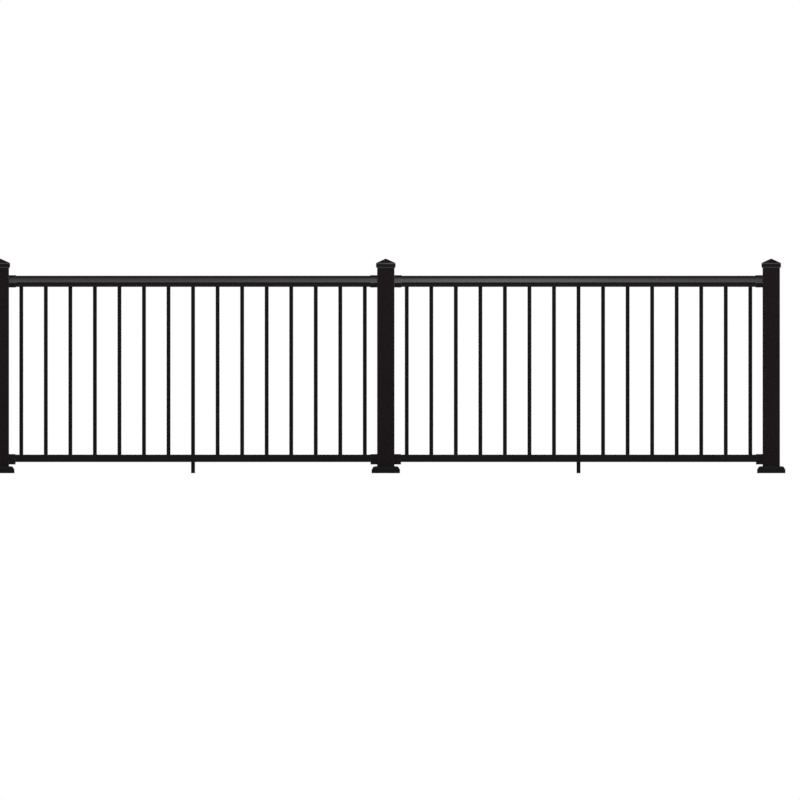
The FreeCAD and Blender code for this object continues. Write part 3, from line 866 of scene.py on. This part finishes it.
@dataclass
class Cap(SquareShell):
    """Pyramid cap: chamfered lip, upright brim, a steep facet above it and four sloping faces."""

    crisp_angle: float = 24.0
    half: float = 0.0457
    pitch: float = 24.3
    facet_lean: float = 17.0
    facet_level: float = 0.0190
    facet_rounding: float = 0.001
    lip_height: float = 0.0046
    lip_inset: float = 0.0038
    socket_half: float = 0.0409
    socket_depth: float = 0.014
    cavity_half: float = 0.036
    wall: float = 0.0025
    corner_radius: float = 0.004
    hip_radius: float = 0.0012
    roof_shares: tuple[float, ...] = (0.6, 0.3)
    tip_half: float = 0.0006
    tip_radius: float = 0.0003
    arc_steps: int = 6

    KIND = "cap"
    TITLE = "pyramid_cap"
    FINISH = CAP_COAT

    def rings(self) -> list[Ring]:
        """Rings of the cap: lip, brim, facet, roof and tip, and back down the hollow to the socket.

        Returns:
            The rings.
        """
        peak = self.place.size.z
        inner_peak = peak - self.wall / math.cos(math.radians(self.pitch))
        lean = math.tan(math.radians(self.facet_lean))
        eaves = (self.facet_level + self.half / lean - peak) / (1 / lean - self._slope)
        outside = [(self.half - self.lip_inset, 0.0), (self.half, self.lip_height),
                   *rounding((self.half, self.facet_level), self.facet_rounding, 0, self.facet_lean,
                             self.arc_steps),
                   *rounding(self._under(peak, eaves), self.facet_rounding, self.facet_lean,
                             90 - self.pitch, self.arc_steps),
                   *(self._under(peak, self.half * share) for share in self.roof_shares)]
        tip_and_hollow = [self._under(peak, self.tip_half), self._under(inner_peak, self.tip_half),
                          self._under(inner_peak, self.cavity_half), (self.cavity_half, self.socket_depth),
                          (self.socket_half, self.socket_depth), (self.socket_half, 0.0)]
        return [*((half, level, self._corner(half)) for half, level in outside),
                *((half, level, self.tip_radius) for half, level in tip_and_hollow)]

    @property
    def _slope(self) -> float:
        """Rise of the roof over its run."""
        return math.tan(math.radians(self.pitch))

    def _under(self, peak: float, half: float) -> Flat:
        """Where the slopes below a peak are so wide."""
        return half, peak - half * self._slope

    def _corner(self, half: float) -> float:
        """Corner radius of the outside where it is so wide: full at the brim, a soft hip above it."""
        share = min(max((half - self.half + self.corner_radius) / self.corner_radius, 0.0), 1.0)
        return self.hip_radius + (self.corner_radius - self.hip_radius) * share


@dataclass
class Skirt(SquareShell):
    """Moulded shell round the foot of a post: an upright band, a ledge and a quarter-round."""

    edge: float = 0.0005
    crisp_angle: float = 28.0
    half: float = 0.066
    wall: float = 0.0025
    band_height: float = 0.0194
    step: float = 0.0033
    round_radius: float = 0.013
    band_corner: float = 0.005
    round_corner: float = 0.0027
    least_corner: float = 0.0015
    inner_corner: float = 0.001
    socket_half: float = 0.0409
    arc_steps: int = 10

    KIND = "skirt"
    TITLE = "moulded_skirt"
    FINISH = SKIRT_PLASTIC

    def rings(self) -> list[Ring]:
        """Rings of the skirt: band, ledge and quarter-round, and the same a wall further in.

        Returns:
            The rings.
        """
        height = self.place.size.z
        moulding = self.half - self.step
        top = moulding - self.round_radius
        quarter = arc((top, height - self.round_radius), self.round_radius, 0, 90, self.arc_steps)
        outside = [(self.half, 0.0, self.band_corner), (self.half, self.band_height, self.band_corner),
                   *((half, level, max(self.round_corner + half - moulding, self.least_corner))
                     for half, level in quarter)]
        inside = [(self.socket_half, height), (self.socket_half, height - self.wall),
                  (top, height - self.wall), (moulding - self.wall, self.band_height - self.wall),
                  (self.half - self.wall, self.band_height - self.wall), (self.half - self.wall, 0.0)]
        return outside + [(half, level, self.inner_corner) for half, level in inside]


# Rows made by rule


@dataclass(frozen=True)
class RuleSizes:
    """Sizes that a geometry tree takes, each by the input of its own name."""

    def inputs(self) -> dict[str, float]:
        """The sizes by the names of the inputs, such as Corner radius for corner_radius."""
        return {name.replace("_", " ").capitalize(): size for name, size in asdict(self).items()}


@dataclass(frozen=True)
class TubeSizes(RuleSizes):
    """Sizes of a row of square tubes."""

    width: float = 0.0183
    wall: float = 0.0012
    corner_radius: float = 0.0014
    length: float = 0.8
    count: int = 15
    pitch: float = 0.1143
    seed: int = 7


@dataclass(frozen=True)
class HeadSizes(RuleSizes):
    """Sizes of a fastener's head, how far it is tilted over, and how far it may be turned either way."""

    flange_radius: float = 0.004
    flange_height: float = 0.0008
    head_radius: float = 0.0035
    top_radius: float = 0.0022
    head_height: float = 0.002
    head_sides: int = 24
    socket_width: float = 0.0022
    socket_depth: float = 0.0012
    tilt: float = 0.0
    turn: float = 3.14
    seed: int = 5


@dataclass(frozen=True)
class WeldSizes(RuleSizes):
    """Sizes of a weld round a square tube."""

    tube_width: float = 0.081
    corner_radius: float = 0.003
    bead_radius: float = 0.0028
    spacing: float = 0.0032
    seed: int = 21


class RuleTree(ABC):
    """A geometry tree with named inputs, run on points that become a plain mesh."""

    NAME: ClassVar[str]
    SIZES: ClassVar[RuleSizes]

    def __init__(self) -> None:
        """Build the tree: its own shape, realized and given its material."""
        desk, self.given = open_group(
            self.NAME, "GeometryNodeTree",
            {"Geometry": "NodeSocketGeometry", **self.SIZES.inputs(), "Material": "NodeSocketMaterial"},
            {"Geometry": "NodeSocketGeometry"})
        desk.tree.is_modifier = True
        self.desk = desk
        real = desk.out("GeometryNodeRealizeInstances", {"Geometry": self.draw()})
        painted = desk.out("GeometryNodeSetMaterial", {"Geometry": real, "Material": self.given["Material"]})
        desk.add("NodeGroupOutput", {"Geometry": painted})

    @abstractmethod
    def draw(self) -> bpy.types.NodeSocket:
        """Put the shape on the points.

        Returns:
            The instances' socket.
        """

    def run(self, name: str, places: Sequence[Point], sizes: RuleSizes, material: bpy.types.Material,
            crisp_angle: float = CRISP_ANGLE) -> bpy.types.Object:
        """Run the tree on points and keep the result as a plain mesh.

        Args:
            name: Name of the piece.
            places: Points that the tree starts from.
            sizes: What its named inputs are set to.
            material: What the piece is made of.
            crisp_angle: Edges that turn by more degrees than this stay crisp.

        Returns:
            The new piece.
        """
        mesh = bpy.data.meshes.new(f"{name}_places")
        mesh.from_pydata(list(places), [], [])
        carrier = add_object(f"{name}_carrier", mesh)
        modifier = carrier.modifiers.new("rule", "NODES")
        modifier.node_group = self.desk.tree
        values = {**sizes.inputs(), "Material": material}
        for item in self.desk.tree.interface.items_tree:
            if item.in_out == "INPUT" and item.name in values:
                modifier[item.identifier] = values[item.name]
        evaluated = carrier.evaluated_get(bpy.context.evaluated_depsgraph_get())
        plain = bpy.data.meshes.new_from_object(evaluated)
        carrier.modifiers.clear()
        bpy.data.objects.remove(carrier)
        plain.name = name
        return finish_mesh(name, plain, crisp_angle)


class TubeRule(RuleTree):
    """Rows of square tubes with rounded corners that start on points: the balusters and the legs."""

    NAME = "standing_tubes"
    SIZES = TubeSizes()
    INNER_RADIUS_SHARE = 0.35

    def draw(self) -> bpy.types.NodeSocket:
        """Join an outer and an inner wall by a ring at each end, and number the tubes at random.

        Returns:
            The instances' socket.
        """
        desk, given = self.desk, self.given
        bore = desk.calc("SUBTRACT", given["Width"], desk.calc("MULTIPLY", given["Wall"], 2.0))
        rings = [desk.square(given["Width"], given["Corner radius"]),
                 desk.square(bore, desk.calc("MULTIPLY", given["Corner radius"], self.INNER_RADIUS_SHARE))]
        top = desk.out("ShaderNodeCombineXYZ", {"Z": given["Length"]})
        line = desk.out("GeometryNodeCurvePrimitiveLine", {"End": top})
        walls = [desk.out("GeometryNodeCurveToMesh", {"Curve": line, "Profile Curve": ring})
                 for ring in rings]
        both = desk.out("GeometryNodeJoinGeometry", {0: rings})
        lower_end = desk.out("GeometryNodeFillCurve", {"Curve": both}, mode="TRIANGLES")
        upper_end = desk.out("GeometryNodeTransform", {"Geometry": lower_end, "Translation": top})
        shell = desk.out("GeometryNodeJoinGeometry", {0: [*walls, lower_end, upper_end]})
        tube = desk.out("GeometryNodeMergeByDistance", {"Geometry": shell, "Distance": MERGE_DISTANCE})
        stride = desk.out("ShaderNodeCombineXYZ", {"X": given["Pitch"]})
        row = desk.out("GeometryNodeMeshLine", {"Count": given["Count"], "Offset": stride})
        rows = desk.out("GeometryNodeInstanceOnPoints", {"Points": given["Geometry"], "Instance": row})
        spots = desk.out("GeometryNodeRealizeInstances", {"Geometry": rows})
        tubes = desk.out("GeometryNodeInstanceOnPoints", {"Points": spots, "Instance": tube})
        return desk.out("GeometryNodeStoreNamedAttribute",
                        {"Geometry": tubes, "Name": "batch", "Value": desk.chance(given["Seed"])},
                        data_type="FLOAT", domain="INSTANCE")


class HeadRule(RuleTree):
    """Fasteners' heads that sit on points: a flange, a dome or hexagon, and a socket for the key."""

    NAME = "screw_heads"
    SIZES = HeadSizes()
    FLANGE_SIDES = 28
    KEY_SIDES = 6
    SEAT_SHARE = 0.8
    FLATS_OF_HEXAGON = 1.732

    def draw(self) -> bpy.types.NodeSocket:
        """Cut the head once and repeat it with a random turn.

        Returns:
            The instances' socket.
        """
        desk, given = self.desk, self.given
        seat = desk.calc("MULTIPLY", given["Flange height"], self.SEAT_SHARE)
        flange = self._drum(self.FLANGE_SIDES, given["Flange radius"], given["Flange radius"],
                            given["Flange height"], 0.0)
        head = self._drum(given["Head sides"], given["Head radius"], given["Top radius"],
                          given["Head height"], seat)
        floor = desk.calc("SUBTRACT", desk.calc("ADD", given["Head height"], seat), given["Socket depth"])
        radius = desk.calc("DIVIDE", given["Socket width"], self.FLATS_OF_HEXAGON)
        depth = desk.calc("MULTIPLY", given["Socket depth"], 2.0)
        key = self._drum(self.KEY_SIDES, radius, radius, depth, floor)
        solid = desk.out("GeometryNodeMeshBoolean", {"Mesh 2": [flange, head]}, operation="UNION")
        cut = desk.out("GeometryNodeMeshBoolean", {"Mesh 1": solid, "Mesh 2": key}, operation="DIFFERENCE")
        turn = desk.chance(given["Seed"], desk.calc("MULTIPLY", given["Turn"], -1.0), given["Turn"])
        return desk.out("GeometryNodeInstanceOnPoints", {
            "Points": given["Geometry"], "Instance": cut,
            "Rotation": desk.out("ShaderNodeCombineXYZ", {"X": given["Tilt"], "Z": turn})})

    def _drum(self, sides: object, bottom: object, top: object, height: object,
              level: object) -> bpy.types.NodeSocket:
        """A drum or prism that stands at a level.

        Args:
            sides: Number of its sides.
            bottom: Radius at the bottom.
            top: Radius at the top.
            height: Its height.
            level: Level of its bottom.

        Returns:
            The mesh's socket.
        """
        drum = self.desk.out("GeometryNodeMeshCone", {"Vertices": sides, "Radius Top": top,
                                                      "Radius Bottom": bottom, "Depth": height})
        lift = self.desk.out("ShaderNodeCombineXYZ", {"Z": level})
        return self.desk.out("GeometryNodeTransform", {"Geometry": drum, "Translation": lift})


class WeldRule(RuleTree):
    """Fillet welds laid as overlapping ripples round square tubes that stand on points."""

    NAME = "weld_ripples"
    SIZES = WeldSizes()

    def draw(self) -> bpy.types.NodeSocket:
        """Lay beads along a rounded square, each of a little different size.

        Returns:
            The instances' socket.
        """
        desk, given = self.desk, self.given
        path = desk.square(given["Tube width"], given["Corner radius"])
        spots = desk.add("GeometryNodeCurveToPoints", {"Curve": path, "Length": given["Spacing"]},
                         mode="LENGTH").outputs
        bead = desk.out("GeometryNodeMeshUVSphere",
                        {"Segments": 8, "Rings": 5, "Radius": given["Bead radius"]})
        ripples = desk.out("GeometryNodeInstanceOnPoints", {
            "Points": spots["Points"], "Instance": bead, "Rotation": spots["Rotation"],
            "Scale": desk.chance(given["Seed"], low=0.88, high=1.08)})
        loop = desk.out("GeometryNodeRealizeInstances", {"Geometry": ripples})
        return desk.out("GeometryNodeInstanceOnPoints", {"Points": given["Geometry"], "Instance": loop})


@dataclass
class Balusters(SubAssembly):
    """The row of square tubes in one bay."""

    rule: TubeRule
    bay: str
    tube: TubeSizes = TubeSizes()

    def build(self) -> None:
        """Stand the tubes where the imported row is."""
        node = f"balusters_{self.bay}"
        place = Extents.of_node(node)
        first = (place.low.x + self.tube.width / 2, place.middle.y, place.low.z)
        sizes = replace(self.tube, length=place.size.z, seed=self.tube.seed + BAYS.index(self.bay))
        row = self.rule.run(f"baluster_row_{self.bay}", [first], sizes, self.shop.material(BALUSTER_COAT))
        self.join(row, BALUSTER_COAT, node)


@dataclass
class Legs(SubAssembly):
    """The short tubes under the middles of the bottom rails, and the plugs they stand on."""

    rule: TubeRule
    tube: TubeSizes = TubeSizes(count=1, seed=3)

    def build(self) -> None:
        """Stand a tube where each packed leg is and dress the plugs."""
        nodes = [f"support_leg_{bay}" for bay in BAYS]
        places = [Extents.of_node(node) for node in nodes]
        feet = [(place.middle.x, place.middle.y, place.low.z) for place in places]
        legs = self.rule.run("leg_tubes", feet, replace(self.tube, length=places[0].size.z),
                             self.shop.material(BALUSTER_COAT))
        self.join(legs, BALUSTER_COAT, *nodes)
        self.keep(FOOT_PLASTIC, *(f"leg_foot_{bay}" for bay in BAYS))


@dataclass
class Feet(SubAssembly):
    """The posts' base plates, and the welds that join them to the posts."""

    rule: WeldRule
    crisp_angle: float = 60.0

    def build(self) -> None:
        """Dress the plates and lay a weld round the foot of each post."""
        nodes = [f"base_plate_{side}" for side in SIDES]
        self.keep(PLATE_COAT, *nodes)
        plates = [Extents.of_node(node) for node in nodes]
        spots = [(plate.middle.x, plate.middle.y, plate.high.z) for plate in plates]
        sizes = WeldSizes(tube_width=Extents.of_node("post_center").size.y)
        welds = self.rule.run("post_welds", spots, sizes, self.shop.material(PLATE_COAT), self.crisp_angle)
        self.join(welds, PLATE_COAT)


@dataclass
class Fasteners(SubAssembly):
    """Locking screws under the rail ends, and anchor bolts on the base plates under the skirts."""

    rule: HeadRule
    screw_offset: float = 0.011
    screw_reach: float = 0.018
    sink: float = 0.0002
    recess_roof: float = 0.0496
    anchor_offset: float = 0.048
    low_head: HeadSizes = HeadSizes(
        flange_radius=0.0042, flange_height=0.0003, head_radius=0.0038, top_radius=0.0032, head_height=0.0005,
        socket_width=0.003, socket_depth=0.0006, tilt=math.pi, seed=11)
    pan_head: HeadSizes = HeadSizes(
        flange_radius=0.0048, flange_height=0.0007, head_radius=0.0043, top_radius=0.0026, head_height=0.0022,
        socket_width=0.003, socket_depth=0.0015, tilt=math.pi, seed=12)
    hex_head: HeadSizes = HeadSizes(
        flange_radius=0.0095, flange_height=0.0018, head_radius=0.0091, top_radius=0.0088, head_height=0.0062,
        head_sides=6, socket_width=0.011, socket_depth=0.0006, turn=0.12, seed=13)

    def bracket_spots(self, kind: str, level: float | None = None) -> list[Point]:
        """Where the two screws under each bracket of a kind sit.

        Args:
            kind: Which brackets, by the start of their name.
            level: Level of the face they bear on, or None for the bracket's own underside.

        Returns:
            The points.
        """
        spots = []
        for bay in BAYS:
            for end in ENDS:
                place = Extents.of_node(f"{kind}_{bay}_bay_{end}")
                along = place.low.x + self.screw_reach if end == "left" else place.high.x - self.screw_reach
                face = place.low.z if level is None else level
                spots += [(along, across, face + self.sink)
                          for across in (-self.screw_offset, self.screw_offset)]
        return spots

    def plate_spots(self) -> list[Point]:
        """Where the anchor bolts sit, one near each corner of each plate.

        Returns:
            The points.
        """
        return [(place.middle.x + across * self.anchor_offset, along * self.anchor_offset,
                 place.high.z - self.sink)
                for place in (Extents.of_node(f"base_plate_{side}") for side in SIDES)
                for across in (-1, 1) for along in (-1, 1)]

    def build(self) -> None:
        """Set the three kinds of fastener."""
        steel = self.shop.material(SCREW_STEEL)
        for name, spots, sizes in (
                ("screws_under_collars", self.bracket_spots("top_bracket"), self.low_head),
                ("screws_under_cups", self.bracket_spots("bottom_bracket", self.recess_roof), self.pan_head),
                ("anchor_bolts", self.plate_spots(), self.hex_head)):
            self.join(self.rule.run(name, spots, sizes, steel), SCREW_STEEL)


# Studio


@dataclass(frozen=True)
class SoftBox:
    """A large soft lamp that faces a point.

    Attributes:
        name: Its name.
        centre: Where it hangs.
        target: What it faces.
        width: Its width along the railing or, for a side lamp, across it.
        height: Its other side.
        radiance: How bright its face is, where 1 shows as white.
    """

    name: str
    centre: Point
    target: Point
    width: float
    height: float
    radiance: float

    def hang(self) -> None:
        """Put the lamp in the scene, out of the camera's sight."""
        lamp = bpy.data.lights.new(self.name, "AREA")
        lamp.shape = "RECTANGLE"
        lamp.size, lamp.size_y = self.width, self.height
        lamp.energy = self.radiance * math.pi * self.width * self.height
        holder = add_object(self.name, lamp)
        holder.location = self.centre
        way = Vector(self.target) - Vector(self.centre)
        holder.rotation_euler = way.to_track_quat("-Z", "Y").to_euler()
        holder.visible_camera = False


@dataclass
class Studio:
    """A pale floor under plain soft light, a white backdrop and the camera square to the front."""

    view_width: float = 3.7264
    view_centre: Flat = (0.0662, 0.341)
    camera_distance: float = 8.0
    clip_end: float = 100.0
    floor_half: float = 30.0
    floor_level: float = -0.0002
    floor_tone: float = 0.93
    floor_glow: float = 0.35
    fill_light: float = 0.50
    ceiling_light: float = 0.03
    front_light: float = 0.09
    lamps: tuple[SoftBox, ...] = (
        SoftBox("front_strip", centre=(0.0, -3.2, 3.2), target=(0.0, 0.0, 0.9),
                width=9.0, height=1.45, radiance=1.50),
        SoftBox("front_middle", centre=(0.53, -2.8, 3.3), target=(0.53, 0.0, 0.9),
                width=0.85, height=1.6, radiance=2.65),
        SoftBox("front_upper", centre=(0.0, -2.1, 4.3), target=(0.0, 0.0, 0.9),
                width=9.0, height=1.1, radiance=0.6),
        SoftBox("overhead", centre=(0.0, -0.9, 4.4), target=(0.0, -0.9, 0.0),
                width=9.0, height=1.4, radiance=0.34),
        SoftBox("right_side", centre=(4.6, -0.4, 2.0), target=(0.0, -0.3, 1.0),
                width=2.6, height=2.8, radiance=4.3),
        SoftBox("left_side", centre=(-4.6, -0.4, 2.0), target=(0.0, -0.3, 1.0),
                width=2.6, height=2.8, radiance=2.9),
    )

    def build(self) -> None:
        """Set up the room, the lamps and the camera."""
        self._paint_room()
        self._lay_floor()
        for lamp in self.lamps:
            lamp.hang()
        self._stand_camera()
        bpy.context.scene.view_settings.view_transform = "Standard"
        log.info("studio: %d lamps", len(self.lamps))

    def _paint_room(self) -> None:
        """Paint the world: white to the camera and fill light for shade.

        Reflections show it as a white sheet below and behind the railing, in a room that is dark above and
        a little brighter in front.
        """
        world = bpy.data.worlds.new("studio")
        bpy.context.scene.world = world
        desk = Desk.cleared(world)
        place = desk.add("ShaderNodeTexCoord").outputs["Generated"]
        way = desk.add("ShaderNodeSeparateXYZ", {0: place}).outputs
        under = desk.ramp(way["Z"], low=-0.45, high=-0.80)
        low = desk.ramp(way["Z"], low=0.30, high=0.10)
        behind = desk.ramp(way["Y"], low=0.0, high=0.3)
        backdrop = desk.calc("MAXIMUM", under, desk.calc("MULTIPLY", low, behind))
        path = desk.add("ShaderNodeLightPath").outputs
        mirrored = desk.calc("MAXIMUM", path["Is Glossy Ray"], path["Is Transmission Ray"])
        white = desk.calc("MAXIMUM", path["Is Camera Ray"], desk.calc("MULTIPLY", mirrored, backdrop))
        walls = desk.ramp(way["Y"], low=-0.2, high=-0.8, start=self.ceiling_light, end=self.front_light)
        elsewhere = desk.fade(mirrored, self.fill_light, walls)
        room = desk.out("ShaderNodeBackground", {"Color": (1.0, 1.0, 1.0, 1.0),
                                                 "Strength": desk.fade(white, elsewhere, 1.0)})
        desk.add("ShaderNodeOutputWorld", {"Surface": room})

    def _lay_floor(self) -> None:
        """Lay a pale sheet that keeps its shadows near the railing and turns white far away.

        Reflections pass it by, because the room has its own white sheet for them.
        """
        half = self.floor_half
        mesh = bpy.data.meshes.new("floor")
        mesh.from_pydata([(-half, -half, 0.0), (half, -half, 0.0), (half, half, 0.0), (-half, half, 0.0)], [],
                         [(0, 1, 2, 3)])
        floor = add_object("floor", mesh)
        floor.location.z = self.floor_level
        floor.visible_glossy = False
        material = bpy.data.materials.new("pale_floor")
        desk = Desk.cleared(material)
        seen = desk.add("ShaderNodeLightPath").outputs["Is Camera Ray"]
        place = desk.add("ShaderNodeTexCoord").outputs["Object"]
        distance = desk.add("ShaderNodeVectorMath", {0: place}, operation="LENGTH").outputs["Value"]
        glow = desk.ramp(distance, low=2.2, high=5.0, start=self.floor_glow, end=1.0)
        matte = desk.out("ShaderNodeBsdfDiffuse", {"Color": (*[self.floor_tone] * 3, 1.0)})
        white = desk.out("ShaderNodeEmission", {"Strength": 1.0})
        sheet = desk.out("ShaderNodeMixShader", {0: desk.calc("MULTIPLY", seen, glow), 1: matte, 2: white})
        desk.add("ShaderNodeOutputMaterial", {"Surface": sheet})
        mesh.materials.append(material)

    def _stand_camera(self) -> None:
        """Stand the camera square to the front, level and without perspective."""
        lens = bpy.data.cameras.new("front_camera")
        lens.type = "ORTHO"
        lens.ortho_scale = self.view_width
        lens.clip_end = self.clip_end
        camera = add_object("front_camera", lens)
        camera.location = (self.view_centre[0], -self.camera_distance, self.view_centre[1])
        camera.rotation_euler = (math.radians(90), 0.0, 0.0)
        bpy.context.scene.camera = camera


def main() -> None:
    """Build the railing's looks in order, from the deck up, and then the studio."""
    logging.basicConfig(level=logging.INFO, format="%(name)s: %(message)s")
    shop = Paintshop(Effects())
    tubes = TubeRule()
    parts: list[SubAssembly] = [*(Post(shop, side) for side in SIDES), Feet(shop, WeldRule())]
    for side in SIDES:
        parts += [Skirt(shop, side), Cap(shop, side)]
    parts += [BottomRails(shop), Legs(shop, tubes)]
    for bay in BAYS:
        parts += [Balusters(shop, tubes, bay), TopRail(shop, bay)]
        parts += [TopBracket(shop, bay, end) for end in ENDS]
    parts.append(Fasteners(shop, HeadRule()))
    for part in parts:
        part.build()
    Studio().build()


if __name__ == "__main__":
    main()
